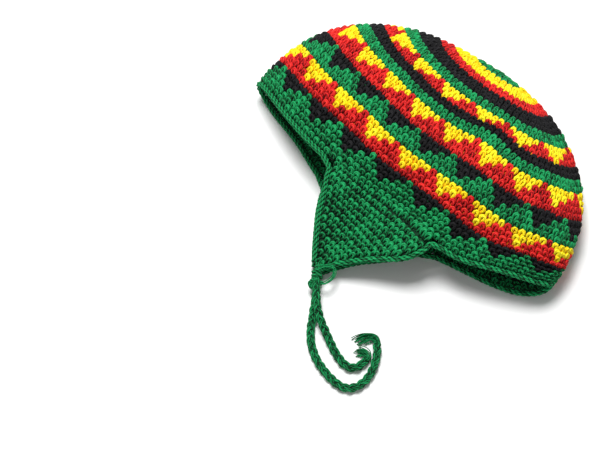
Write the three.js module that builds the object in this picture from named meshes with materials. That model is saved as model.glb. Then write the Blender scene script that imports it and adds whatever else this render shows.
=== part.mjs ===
import * as THREE from 'three';

// A chullo: a crocheted cap with two ear flaps and two braided ties.
// It lies on its side. X runs along the brim from fold to fold, Y from the opening to the
// crown's centre and Z up. The lower half of the cloth lies flat, the upper half is puffed up.
// Lengths are in millimetres, angles in degrees.

// Cloth and border
const WALL = 3.2;                 // thickness of the crocheted cloth
const SEAM_GAP = 0.3;             // clearance where two pieces meet
const EDGING_HEIGHT = 3.9;        // how far the border stands out from the cloth's edge
const EDGING_THICKNESS = 4.0;
const EDGING_GAP = 0.5;           // between the border and the cloth's edge
const EDGING_SIDES = 8;

// The crown is crocheted in rounds: round 0 is its centre, BRIM_ROUND the last one.
const BRIM_ROUND = 37;
const FIRST_ROUND = 0.4;           // the cloth's directions are not taken nearer to the centre
const FRAME_STEP = 0.2;           // rounds or degrees over which they are measured
const COLUMNS = 72;
const CROWN_ROUNDS = [0.8, 2, 3.5, 5.5, 8, 10.5, 13, 15.5, 17.5, 19.5, 22, 25, 28, 31, 34, BRIM_ROUND];

// Where a round lies: its half width between the folds, the height and place of the folds,
// of the middle of the upper half (top) and of the lower half (under), how much the right
// fold lies further from the brim than the left (tilt), and how the round bows between the
// folds (0.5 is an ellipse, 1 a parabola).
const SECTIONS = [
  { round: 0, half: 0, foldY: 116.5, tilt: 0, foldZ: 17, topY: 116.5, topZ: 17, underY: 116.5, underZ: 17, bow: 0.5 },
  { round: 3, half: 18.5, foldY: 114.5, tilt: 0, foldZ: 18, topY: 107, topZ: 25, underY: 120, underZ: 8.5, bow: 0.5 },
  { round: 6, half: 36.5, foldY: 111.5, tilt: 0, foldZ: 19, topY: 96, topZ: 33, underY: 115.5, underZ: -1, bow: 0.52 },
  { round: 10, half: 58, foldY: 105, tilt: -1, foldZ: 20, topY: 80.5, topZ: 41, underY: 98, underZ: -2.5, bow: 0.57 },
  { round: 13, half: 73, foldY: 97.5, tilt: -1.5, foldZ: 20, topY: 68, topZ: 46, underY: 84, underZ: -2.5, bow: 0.61 },
  { round: 16, half: 86, foldY: 89, tilt: -2, foldZ: 20, topY: 56.5, topZ: 49, underY: 70, underZ: -2.5, bow: 0.66 },
  { round: 20, half: 101.5, foldY: 75, tilt: -2.5, foldZ: 19.5, topY: 41.5, topZ: 51, underY: 52, underZ: -2.5, bow: 0.7 },
  { round: 24, half: 113.5, foldY: 57.5, tilt: -3, foldZ: 19, topY: 25, topZ: 51, underY: 34, underZ: -2.5, bow: 0.75 },
  { round: 28, half: 121, foldY: 38, tilt: -3, foldZ: 18, topY: 8.5, topZ: 49, underY: 16, underZ: -2.5, bow: 0.78 },
  { round: 32, half: 124.5, foldY: 21, tilt: -1, foldZ: 16.5, topY: -6.5, topZ: 44, underY: -3, underZ: -2.5, bow: 0.8 },
  { round: 38, half: 125.5, foldY: 4.5, tilt: 4.5, foldZ: 13.5, topY: -26, topZ: 32, underY: -31.5, underZ: -2.5, bow: 0.8 },
];
const TOP_SQUARENESS = 2.2;       // superellipse powers of a round's two halves
const UNDER_SQUARENESS = 3.0;
const BOW_SLANT = 0.38;           // the bow is fuller on the right

// Where the cloth has sunk or slid: a soft dent right of the middle of the upper half (half 1),
// the brim's droop over the right opening, and the lower half (half -1) drawn in at both openings
const DENTS = [
  { half: 1, round: 18, rounds: 3.2, x: 35, width: 15, push: 6, drop: 2.5 },
  { half: 1, round: 38, rounds: 6, x: 66, width: 28, push: -7, drop: 4 },
  { half: -1, round: 38, rounds: 12, x: -80, width: 30, push: 6, drop: 0 },
  { half: -1, round: 38, rounds: 12, x: 62, width: 30, push: 2.5, drop: 0 },
];
const DENT_FADE = 3;              // a dent fades out towards the folds

// Ear flaps: outline from the brim to the tip, with the middle line's place and height
const UPPER_FLAP = {
  angles: [70, 105],
  rows: [
    { down: 0, left: -36.9, right: 47.5, y: -22.5, z: 34 },
    { down: 0.14, left: -33.5, right: 46.5, y: -31.5, z: 30.4 },
    { down: 0.36, left: -26.8, right: 39.5, y: -43.5, z: 25.2 },
    { down: 0.57, left: -20.8, right: 22.5, y: -55.5, z: 19.8 },
    { down: 0.8, left: -12.8, right: 8, y: -67.5, z: 14 },
    { down: 0.92, left: -7.8, right: 1.5, y: -74.5, z: 10.8 },
    { down: 1, left: -4.8, right: -1.8, y: -79, z: 9 },
  ],
};
const LOWER_FLAP = {
  angles: [-80, -100],
  rows: [
    { down: 0, left: -39.2, right: 39.2, y: -28, z: WALL / 2 },
    { down: 0.14, left: -36, right: 35, y: -35, z: WALL / 2 },
    { down: 0.36, left: -29.5, right: 24, y: -46, z: WALL / 2 },
    { down: 0.57, left: -21.5, right: 12.5, y: -57, z: WALL / 2 },
    { down: 0.8, left: -12.5, right: 3.5, y: -69, z: WALL / 2 },
    { down: 0.92, left: -7, right: -0.5, y: -75.5, z: WALL / 2 },
    { down: 1, left: -4.4, right: -2.2, y: -79, z: WALL / 2 },
  ],
};
const FLAP_COLUMNS = 10;
const FLAP_ROWS = 16;
const FLAP_FRAME_STEP = 0.01;     // share of a flap over which its directions are measured

// Where the border's sections stand: along a flap's side, and along the brim between the
// flaps, in degrees from a flap's base and from each other
const FLAP_EDGE_STEPS = [0.99, 0.92, 0.84, 0.76, 0.68, 0.6, 0.52, 0.44, 0.36, 0.28, 0.2, 0.13];
const CORNER_STEP = 0.08;
const BRIM_EDGE_START = 5;
const BRIM_EDGE_STEP = 5;

// Ties: braided cords from the flap tips, laid on the surface, each with a frayed end
const TIE_DIAMETER = 6;
const TIE_SIDES = 10;
const TIE_STEP = 11;
const FLOOR_RISE = 0.05;          // a lying cord's clearance over the surface
const UPPER_TIE = [
  [1.2, -88, 9.4], [5.4, -92.9, 9.4], [9.2, -97.3, 9.4], [13.2, -101.6, 9.3], [17.4, -105.5, 8.8],
  [22.1, -108.7, 7.2], [27, -111.3, 5.5], [32.1, -113.8, 4.1], [37.2, -116.4, 3.3], [42.5, -119, 3.05],
  [47.9, -121.1, 3.05], [53.5, -122.4, 3.05], [59, -121.5, 3.05], [62.3, -117.2, 3.05], [62.9, -111.4, 3.05],
];
const LOWER_TIE = [
  [3.2, -90.2, 3.05], [7.4, -95.6, 3.05], [10.8, -100.5, 3.05], [13.8, -105.6, 3.05], [17, -110.6, 3.05],
  [20.1, -115.7, 3.05], [23.6, -120.4, 3.05], [27.7, -124.7, 3.05], [32.4, -128.3, 3.05], [37.5, -131.2, 3.05],
  [43, -133.4, 3.05], [48.7, -134.9, 3.05], [54.6, -135.9, 3.05], [60.5, -136.1, 3.05], [66.1, -134.4, 3.05],
  [70, -130.1, 3.05], [71.7, -124.5, 3.05], [71.7, -118.6, 3.05], [70.4, -112.8, 3.05], [68.2, -107.3, 3.05],
  [65.4, -102.2, 3.05], [61.6, -97.6, 3.05],
];

// Frayed ends: loose yarn that curls off the end of each tie
const UPPER_FRAY = [
  [62.9, -111.4], [62.9, -109.7], [61.6, -107.9], [59.3, -107.1], [56.6, -107.8], [54.2, -109.5], [52.5, -111.9],
];
const LOWER_FRAY = [
  [61.6, -97.6], [60.5, -96.3], [58.4, -95.3], [56, -95.7], [53.8, -97.1], [52, -99], [50.7, -101.3],
  [49.9, -103.5], [49.3, -106.2],
];
const FRAY_GAP = 0.5;
const TASSEL = { locks: 6, lockDepth: 0.16, steps: 9, sides: 36 };
const TASSEL_PROFILE = [
  { along: 0, width: 2.7, height: 2.8 }, { along: 0.2, width: 2.4, height: 2.8 },
  { along: 0.5, width: 2.9, height: 2.8 }, { along: 0.9, width: 2.8, height: 2.5 },
  { along: 1, width: 2.2, height: 1.9 },
];
const KNOTS = {
  upper: { centre: [-1.7, -84.4, 9.6], radii: [4.2, 4.4, 3.3] },
  lower: { centre: [1.2, -85.1, 3], radii: [4.2, 4.4, 2.9] },
};

const KNOT_SIDES = 16;
const KNOT_RINGS = 10;

// Colours and roughness of the dyed yarn
const GREEN = 0x0c7a42;
const BAND_GREEN = 0x0f8a4c;
const YARN_ROUGHNESS = 0.85;

// A column of a table of sections, as a smooth curve through its rows.
function columnAt(table, key, column, at) {
  const last = table.length - 1;
  let i = 0;
  while (i < last - 1 && at >= table[i + 1][key]) i += 1;
  const slope = (row) => {
    const before = table[Math.max(row - 1, 0)];
    const after = table[Math.min(row + 1, last)];
    return (after[column] - before[column]) / (after[key] - before[key]);
  };
  const span = table[i + 1][key] - table[i][key];
  const t = (at - table[i][key]) / span;
  return (2 * t ** 3 - 3 * t ** 2 + 1) * table[i][column]
    + (t ** 3 - 2 * t ** 2 + t) * span * slope(i)
    + (-2 * t ** 3 + 3 * t ** 2) * table[i + 1][column]
    + (t ** 3 - t ** 2) * span * slope(i + 1);
}

// The middle of the cloth at a round and an angle: 0 is the right fold, 90 the middle of the
// upper half, 180 the left fold and 270 the middle of the lower half.
function clothPoint(round, degrees) {
  const at = (column) => columnAt(SECTIONS, 'round', column, round);
  const angle = THREE.MathUtils.degToRad(degrees);
  const upper = Math.sin(angle) >= 0;
  const power = 2 / (upper ? TOP_SQUARENESS : UNDER_SQUARENESS);
  const across = Math.sign(Math.cos(angle)) * Math.abs(Math.cos(angle)) ** power;
  const lift = Math.abs(Math.sin(angle)) ** power;
  const bow = Math.max(0, 1 - across * across) ** (at('bow') * (1 - BOW_SLANT * across));
  const x = at('half') * across;
  let y = at('foldY') + at('tilt') * across + (at(upper ? 'topY' : 'underY') - at('foldY')) * bow;
  let z = at('foldZ') + (at(upper ? 'topZ' : 'underZ') - at('foldZ')) * lift;
  for (const dent of DENTS) {
    const near = Math.exp(-(((round - dent.round) / dent.rounds) ** 2) - ((x - dent.x) / dent.width) ** 2)
      * THREE.MathUtils.clamp(DENT_FADE * dent.half * Math.sin(angle), 0, 1);
    y += dent.push * near;
    z -= dent.drop * near;
  }
  return new THREE.Vector3(x, y, Math.max(z, WALL / 2));
}

// Directions of the cloth: down, away from the crown, and into the cap.
function clothFrame(round, degrees) {
  const from = Math.max(round - FRAME_STEP, FIRST_ROUND);
  const down = clothPoint(round + FRAME_STEP, degrees).sub(clothPoint(from, degrees)).normalize();
  const along = clothPoint(round, degrees + FRAME_STEP).sub(clothPoint(round, degrees - FRAME_STEP)).normalize();
  const inward = new THREE.Vector3().crossVectors(down, along).normalize();
  return { down, inward };
}

// A geometry from points and rings of faces, each face a list of point numbers.
function solidOf(points, faces) {
  const geometry = new THREE.BufferGeometry();
  geometry.setAttribute('position', new THREE.Float32BufferAttribute(points.flatMap((p) => p.toArray()), 3));
  const triangles = faces.flatMap((f) => (f.length === 3 ? f : [f[0], f[1], f[2], f[0], f[2], f[3]]));
  geometry.setIndex(triangles);
  geometry.computeVertexNormals();
  return geometry;
}

// The crown: an inner and an outer skin half a wall from the middle of the cloth, closed
// at the crown's centre by a point each and joined to each other at the brim.
function crownGeometry() {
  const points = [];
  const faces = [];
  const number = (skin, ring, column) => (skin * CROWN_ROUNDS.length + ring) * COLUMNS + (column % COLUMNS);
  for (const side of [1, -1]) {
    for (const round of CROWN_ROUNDS) {
      for (let column = 0; column < COLUMNS; column += 1) {
        const degrees = (360 * column) / COLUMNS;
        const point = clothPoint(round, degrees);
        points.push(point.addScaledVector(clothFrame(round, degrees).inward, (side * WALL) / 2));
      }
    }
  }
  const poles = [0, 1].map((skin) => {
    const middle = new THREE.Vector3();
    for (let column = 0; column < COLUMNS; column += 1) middle.add(points[number(skin, 0, column)]);
    points.push(middle.divideScalar(COLUMNS));
    return points.length - 1;
  });
  for (let column = 0; column < COLUMNS; column += 1) {
    faces.push([poles[0], number(0, 0, column), number(0, 0, column + 1)]);
    faces.push([poles[1], number(1, 0, column + 1), number(1, 0, column)]);
    for (let ring = 0; ring < CROWN_ROUNDS.length - 1; ring += 1) {
      faces.push([number(0, ring, column), number(0, ring + 1, column),
        number(0, ring + 1, column + 1), number(0, ring, column + 1)]);
      faces.push([number(1, ring, column + 1), number(1, ring + 1, column + 1),
        number(1, ring + 1, column), number(1, ring, column)]);
    }
    const rim = CROWN_ROUNDS.length - 1;
    faces.push([number(0, rim, column), number(1, rim, column),
      number(1, rim, column + 1), number(0, rim, column + 1)]);
  }
  return solidOf(points, faces);
}

// The middle of an ear flap's cloth: across runs from its right side (0) to its left side (1)
// and down from the brim (0) to the tip (1). Near the brim it follows the brim's curve.
function flapPoint(flap, across, down) {
  const at = (column) => columnAt(flap.rows, 'down', column, down);
  const degrees = THREE.MathUtils.lerp(flap.angles[0], flap.angles[1], across);
  const brim = clothPoint(BRIM_ROUND, degrees).addScaledVector(clothFrame(BRIM_ROUND, degrees).down, SEAM_GAP);
  const hang = new THREE.Vector3(THREE.MathUtils.lerp(at('right'), at('left'), across), at('y'), at('z'));
  const middle = clothPoint(BRIM_ROUND, (flap.angles[0] + flap.angles[1]) / 2);
  const follow = (1 - down) ** 2;
  hang.y += (brim.y - middle.y) * follow;
  hang.z += (brim.z - middle.z) * follow;
  const loose = Math.min(1, down / flap.rows[1].down);
  return brim.lerp(hang, loose);
}

// Directions of an ear flap's cloth: towards its tip, towards its left side, and into the cap.
function flapFrame(flap, across, down) {
  const from = Math.max(down - FLAP_FRAME_STEP, 0);
  const to = Math.min(down + FLAP_FRAME_STEP, 1);
  const tipward = flapPoint(flap, across, to).sub(flapPoint(flap, across, from)).normalize();
  const leftward = flapPoint(flap, Math.min(across + FLAP_FRAME_STEP, 1), down)
    .sub(flapPoint(flap, Math.max(across - FLAP_FRAME_STEP, 0), down)).normalize();
  const inward = new THREE.Vector3().crossVectors(tipward, leftward).normalize();
  if (flap.angles[0] < 0) inward.negate();
  return { tipward, leftward, inward };
}

function flapGeometry(flap) {
  const points = [];
  const faces = [];
  const number = (skin, row, column) => (skin * (FLAP_ROWS + 1) + row) * (FLAP_COLUMNS + 1) + column;
  for (const side of [1, -1]) {
    for (let row = 0; row <= FLAP_ROWS; row += 1) {
      for (let column = 0; column <= FLAP_COLUMNS; column += 1) {
        const across = column / FLAP_COLUMNS;
        const down = row / FLAP_ROWS;
        const degrees = THREE.MathUtils.lerp(flap.angles[0], flap.angles[1], across);
        const { inward } = row === 0 ? clothFrame(BRIM_ROUND, degrees) : flapFrame(flap, across, down);
        points.push(flapPoint(flap, across, down).addScaledVector(inward, (side * WALL) / 2));
      }
    }
  }
  for (let row = 0; row < FLAP_ROWS; row += 1) {
    for (let column = 0; column < FLAP_COLUMNS; column += 1) {
      faces.push([number(0, row, column), number(0, row + 1, column),
        number(0, row + 1, column + 1), number(0, row, column + 1)]);
      faces.push([number(1, row, column + 1), number(1, row + 1, column + 1),
        number(1, row + 1, column), number(1, row, column)]);
    }
    faces.push([number(0, row, 0), number(1, row, 0), number(1, row + 1, 0), number(0, row + 1, 0)]);
    faces.push([number(0, row + 1, FLAP_COLUMNS), number(1, row + 1, FLAP_COLUMNS),
      number(1, row, FLAP_COLUMNS), number(0, row, FLAP_COLUMNS)]);
  }
  for (let column = 0; column < FLAP_COLUMNS; column += 1) {
    faces.push([number(0, 0, column + 1), number(1, 0, column + 1),
      number(1, 0, column), number(0, 0, column)]);
    faces.push([number(0, FLAP_ROWS, column), number(1, FLAP_ROWS, column),
      number(1, FLAP_ROWS, column + 1), number(0, FLAP_ROWS, column + 1)]);
  }
  const turned = flap.angles[0] < 0;
  return solidOf(points, turned ? faces.map((face) => [...face].reverse()) : faces);
}

// A point of the cloth's edge, with the direction in which the border stands out from that
// edge and the direction into the cap.
function brimEdge(degrees) {
  const { down, inward } = clothFrame(BRIM_ROUND, degrees);
  return { edge: clothPoint(BRIM_ROUND, degrees), stand: down, inward };
}

function flapEdge(flap, side, down) {
  const across = side === 'right' ? 0 : 1;
  const { tipward, leftward, inward } = flapFrame(flap, across, down);
  const sideways = side === 'right' ? leftward.clone().negate() : leftward.clone();
  const stand = sideways.addScaledVector(tipward, -sideways.dot(tipward)).normalize();
  return { edge: flapPoint(flap, across, down), stand, inward };
}

function cornerEdge(flap, side) {
  const across = side === 'right' ? 0 : 1;
  const brim = brimEdge(flap.angles[across]);
  const flapSide = flapEdge(flap, side, CORNER_STEP);
  const stand = brim.stand.clone().add(flapSide.stand);
  const reach = 1 / (1 + brim.stand.dot(flapSide.stand));
  return { edge: flapPoint(flap, across, 0), stand: stand.multiplyScalar(reach), inward: brim.inward };
}

function edgingStations(side) {
  const right = side === 'right';
  const across = right ? 0 : 1;
  const from = UPPER_FLAP.angles[across];
  const to = right ? LOWER_FLAP.angles[across] : LOWER_FLAP.angles[across] + 360;
  const turn = Math.sign(to - from);
  const stations = FLAP_EDGE_STEPS.map((down) => flapEdge(UPPER_FLAP, side, down));
  stations.push(cornerEdge(UPPER_FLAP, side));
  const start = from + turn * BRIM_EDGE_START;
  for (let degrees = start; turn * (to - degrees) >= BRIM_EDGE_START; degrees += turn * BRIM_EDGE_STEP) {
    stations.push(brimEdge(degrees));
  }
  stations.push(cornerEdge(LOWER_FLAP, side));
  stations.push(...FLAP_EDGE_STEPS.map((down) => flapEdge(LOWER_FLAP, side, down)).reverse());
  return stations;
}

// The border is an oval section carried along the cloth's edge.
function edgingGeometry(side) {
  const stations = edgingStations(side);
  const points = [];
  const faces = [];
  const number = (station, corner) => station * EDGING_SIDES + (corner % EDGING_SIDES);
  for (const { edge, stand, inward } of stations) {
    const across = stand.clone().normalize();
    const middle = edge.clone().addScaledVector(stand, EDGING_GAP + EDGING_HEIGHT / 2);
    middle.z = Math.max(middle.z, EDGING_THICKNESS / 2);
    for (let corner = 0; corner < EDGING_SIDES; corner += 1) {
      const angle = (2 * Math.PI * (corner + 0.5)) / EDGING_SIDES;
      points.push(middle.clone()
        .addScaledVector(across, (Math.cos(angle) * EDGING_HEIGHT) / 2)
        .addScaledVector(inward, (Math.sin(angle) * EDGING_THICKNESS) / 2));
    }
  }
  const ends = [0, stations.length - 1].map((station) => {
    const middle = new THREE.Vector3();
    for (let corner = 0; corner < EDGING_SIDES; corner += 1) middle.add(points[number(station, corner)]);
    points.push(middle.divideScalar(EDGING_SIDES));
    return points.length - 1;
  });
  const last = stations.length - 1;
  for (let corner = 0; corner < EDGING_SIDES; corner += 1) {
    faces.push([ends[0], number(0, corner + 1), number(0, corner)]);
    faces.push([ends[1], number(last, corner), number(last, corner + 1)]);
    for (let station = 0; station < last; station += 1) {
      faces.push([number(station, corner), number(station, corner + 1),
        number(station + 1, corner + 1), number(station + 1, corner)]);
    }
  }
  return solidOf(points, side === 'right' ? faces : faces.map((face) => [...face].reverse()));
}

function tieCurve(route) {
  return new THREE.CatmullRomCurve3(route.map((place) => new THREE.Vector3(...place)), false, 'centripetal');
}

function tieGeometry(route) {
  const curve = tieCurve(route);
  const section = new THREE.Shape();
  for (let corner = 0; corner < TIE_SIDES; corner += 1) {
    const angle = (2 * Math.PI * corner) / TIE_SIDES;
    const x = (Math.cos(angle) * TIE_DIAMETER) / 2;
    const y = (Math.sin(angle) * TIE_DIAMETER) / 2;
    if (corner === 0) section.moveTo(x, y);
    else section.lineTo(x, y);
  }
  section.closePath();
  const steps = Math.round(curve.getLength() / TIE_STEP) * 2;
  return new THREE.ExtrudeGeometry(section, { steps, bevelEnabled: false, extrudePath: curve });
}

// The frayed end of a tie: locks of yarn along their own curl, fused to the head by the cord.
function tasselGeometry(fray) {
  const curve = tieCurve(fray.map(([x, y]) => [x, y, 0]));
  const first = FRAY_GAP / curve.getLength();
  const up = new THREE.Vector3(0, 0, 1);
  const points = [];
  const faces = [];
  const number = (step, corner) => step * TASSEL.sides + (corner % TASSEL.sides);
  for (let step = 0; step < TASSEL.steps; step += 1) {
    const along = step / (TASSEL.steps - 1);
    const at = first + (1 - first) * along;
    const middle = curve.getPointAt(at);
    const sideways = up.clone().cross(curve.getTangentAt(at));
    const width = columnAt(TASSEL_PROFILE, 'along', 'width', along);
    const height = columnAt(TASSEL_PROFILE, 'along', 'height', along);
    for (let corner = 0; corner < TASSEL.sides; corner += 1) {
      const angle = (2 * Math.PI * corner) / TASSEL.sides;
      const lock = 1 - TASSEL.lockDepth * along * (0.5 + 0.5 * Math.cos(TASSEL.locks * angle));
      points.push(middle.clone().setZ(height + FLOOR_RISE)
        .addScaledVector(sideways, width * lock * Math.cos(angle))
        .addScaledVector(up, height * lock * Math.sin(angle)));
    }
  }
  const last = TASSEL.steps - 1;
  const ends = [0, last].map((step) => {
    const middle = new THREE.Vector3();
    for (let corner = 0; corner < TASSEL.sides; corner += 1) middle.add(points[number(step, corner)]);
    points.push(middle.divideScalar(TASSEL.sides));
    return points.length - 1;
  });
  for (let corner = 0; corner < TASSEL.sides; corner += 1) {
    faces.push([ends[0], number(0, corner + 1), number(0, corner)]);
    faces.push([ends[1], number(last, corner), number(last, corner + 1)]);
    for (let step = 0; step < last; step += 1) {
      faces.push([number(step, corner), number(step, corner + 1),
        number(step + 1, corner + 1), number(step + 1, corner)]);
    }
  }
  return solidOf(points, faces);
}

function knotGeometry({ radii }) {
  return new THREE.SphereGeometry(1, KNOT_SIDES, KNOT_RINGS).scale(...radii);
}

function piece(name, geometry, color) {
  const yarn = new THREE.MeshStandardMaterial({ color, roughness: YARN_ROUGHNESS, metalness: 0 });
  const mesh = new THREE.Mesh(geometry, yarn);
  mesh.name = name;
  return mesh;
}

const hat = new THREE.Group();
hat.add(
  piece('crown', crownGeometry(), BAND_GREEN),
  piece('ear_flap_upper', flapGeometry(UPPER_FLAP), GREEN),
  piece('ear_flap_lower', flapGeometry(LOWER_FLAP), GREEN),
  piece('edging_right', edgingGeometry('right'), GREEN),
  piece('edging_left', edgingGeometry('left'), GREEN),
);
for (const [which, knot] of Object.entries(KNOTS)) {
  const mesh = piece(`tie_knot_${which}`, knotGeometry(knot), GREEN);
  mesh.position.set(...knot.centre);
  hat.add(mesh);
}

// The origin is under the middle of the hat, on the surface that it lies on.
const extent = new THREE.Box3().setFromObject(hat);
const centre = extent.getCenter(new THREE.Vector3());
hat.add(
  piece('tie_upper', tieGeometry(UPPER_TIE), GREEN),
  piece('tie_tassel_upper', tasselGeometry(UPPER_FRAY), GREEN),
  piece('tie_lower', tieGeometry(LOWER_TIE), GREEN),
  piece('tie_tassel_lower', tasselGeometry(LOWER_FRAY), GREEN),
);
hat.position.set(-centre.x, -centre.y, -extent.min.z);

const chullo = new THREE.Group();
chullo.add(hat);

export default chullo;
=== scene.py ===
# %% [markdown]
# # A crocheted chullo
# A chullo is a cap with two ear flaps and a braided tie on each flap. This one is crocheted in
# rounds from the middle of the crown to the brim, in green, yellow, red and black yarn.
# It lies on its side: the lower half of the cloth is flat, the upper half is still puffed up.
# Every stitch of it is built here as a small loop of yarn, because from close by a crocheted
# cloth is nothing but loops and the dark gaps between them.

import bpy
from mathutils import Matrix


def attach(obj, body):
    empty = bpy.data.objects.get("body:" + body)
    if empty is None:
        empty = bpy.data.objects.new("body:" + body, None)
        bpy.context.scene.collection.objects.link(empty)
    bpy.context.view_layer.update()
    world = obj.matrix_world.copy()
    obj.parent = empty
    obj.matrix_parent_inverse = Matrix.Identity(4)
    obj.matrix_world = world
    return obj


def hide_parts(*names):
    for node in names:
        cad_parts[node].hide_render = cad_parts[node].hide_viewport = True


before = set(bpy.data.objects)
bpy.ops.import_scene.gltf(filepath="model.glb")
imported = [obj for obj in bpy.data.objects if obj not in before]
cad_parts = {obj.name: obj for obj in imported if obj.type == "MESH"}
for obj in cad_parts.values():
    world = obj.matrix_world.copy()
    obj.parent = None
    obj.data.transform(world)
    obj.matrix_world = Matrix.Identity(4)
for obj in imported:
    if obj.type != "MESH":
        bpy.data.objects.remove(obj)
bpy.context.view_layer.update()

# %% Tools of Python and of Blender
import math

import bpy
import numpy as np
from mathutils import Vector

MM = 0.001

# %% [markdown]
# ## Camera
# The photograph was taken from above and in front, with the brim running down to the right.
# A 100 mm lens at a little over a metre keeps both folds of the brim in proportion. The cap
# stands to the right of the picture's middle. Turning the camera away would change the angle
# at which it sees the cap, so the camera is moved sideways instead.

# %% Camera
VIEW_AZIMUTH = math.radians(40)
VIEW_ELEVATION = math.radians(62)
VIEW_DISTANCE = 1.15
LENS_MM = 100
CAP_MIDDLE = Vector((-0.000045, 0.02405, 0.020))
LEFT_OF_CAP = 0.092
BELOW_CAP = 0.0655

toward_camera = Vector((
    math.sin(VIEW_AZIMUTH) * math.cos(VIEW_ELEVATION),
    -math.cos(VIEW_AZIMUTH) * math.cos(VIEW_ELEVATION),
    math.sin(VIEW_ELEVATION),
))
picture_right = Vector((math.cos(VIEW_AZIMUTH), math.sin(VIEW_AZIMUTH), 0))
picture_up = toward_camera.cross(picture_right)
aim = CAP_MIDDLE - picture_right * LEFT_OF_CAP - picture_up * BELOW_CAP

camera = bpy.data.objects.new("camera", bpy.data.cameras.new("camera"))
camera.data.lens = LENS_MM
camera.location = aim + toward_camera * VIEW_DISTANCE
camera.rotation_euler = toward_camera.to_track_quat("Z", "Y").to_euler()
bpy.context.scene.collection.objects.link(camera)
bpy.context.scene.camera = camera
print("camera at", [round(value, 3) for value in camera.location])

# %% [markdown]
# ## Yarn
# The yarn is a soft acrylic and wool blend, spun and plied, then dyed before crocheting. The eye sees a
# matt thread with a faint sheen of loose fibres, and a slanting ply line every millimetre or two. A
# picture of yarn could be laid on each loop, but it would repeat. So the ply is worked out from the
# strand's own coordinates, round it and along it, and turns with the loop: it dents the surface, and
# paints shade into its grooves and a highlight onto its crests. Real plies are finer than a pixel here,
# so they are drawn a little coarser.
#
# Yarn deep in the cloth hardly gets any light, and that shade is painted into the colour. Each point
# carries a tint: chance makes it a little lighter or darker, and painted shade makes a place deep in the
# cloth much darker.

# %% Colours, and a helper that adds one node
def linear(hex_colour):
    """An sRGB hex colour as linear red, green, blue and alpha."""
    channels = [int(hex_colour[i:i + 2], 16) / 255 for i in (1, 3, 5)]
    return [c / 12.92 if c <= 0.04045 else ((c + 0.055) / 1.055) ** 2.4 for c in channels] + [1]


def add_node(material, kind, settings=None, links=None):
    """A new node in the material, its settings and sockets set and linked by name or number."""
    tree = material.node_tree
    made = tree.nodes.new(kind)
    for name, value in (settings or {}).items():
        if isinstance(name, int) or name in made.inputs:
            made.inputs[name].default_value = value
        else:
            setattr(made, name, value)
    for name, source in (links or {}).items():
        tree.links.new(source, made.inputs[name])
    return made


# %% The wave that the plies make
PLIES = 3
PLY_PITCH_MM = 3.4          # one turn of a ply along the strand; finer in the real yarn


def ply_wave(material):
    """A value that is 1 on the crest of a ply and 0 in the groove between two of them."""
    strand_map = add_node(material, "ShaderNodeUVMap", {"uv_map": "strand"})
    place = add_node(material, "ShaderNodeSeparateXYZ", links={"Vector": strand_map.outputs["UV"]})
    around = add_node(material, "ShaderNodeMath", {"operation": "MULTIPLY", 1: 2 * math.pi * PLIES},
                      {0: place.outputs["X"]})
    along = add_node(material, "ShaderNodeMath",
                     {"operation": "MULTIPLY", 1: 2 * math.pi / PLY_PITCH_MM},
                     {0: place.outputs["Y"]})
    turn = add_node(material, "ShaderNodeMath", {"operation": "ADD"},
                    {0: around.outputs[0], 1: along.outputs[0]})
    wave = add_node(material, "ShaderNodeMath", {"operation": "SINE"}, {0: turn.outputs[0]})
    ply = add_node(material, "ShaderNodeMapRange", {"From Min": -1.0, "From Max": 1.0},
                   {"Value": wave.outputs[0]})
    return ply.outputs["Result"]


print("plies:", PLIES, "- one turn of them every", PLY_PITCH_MM, "mm")

# %% Plied yarn as a material
FIBRE_MM = 0.9              # size of the mottling that the fibres make
FIBRE_SHARE = 0.5           # how much the fibres, the tint and the ply
TINT_SHARE = 0.45           # each add to the shade, and what is taken off
PLY_SHARE = 0.5             # so that the body colour stays in the middle
SHADE_SHIFT = -0.04
# where on the ramp the grooves' painted shade, the body colour and the crests' painted highlight sit
GROOVE_SHADE_AT, BODY_AT, CREST_HIGHLIGHT_AT = 0.2, 0.55, 0.95
PLY_DEPTH = 0.45 * MM
FIBRE_RELIEF = 0.5          # height of the fibres, as a share of the ply's


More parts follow.
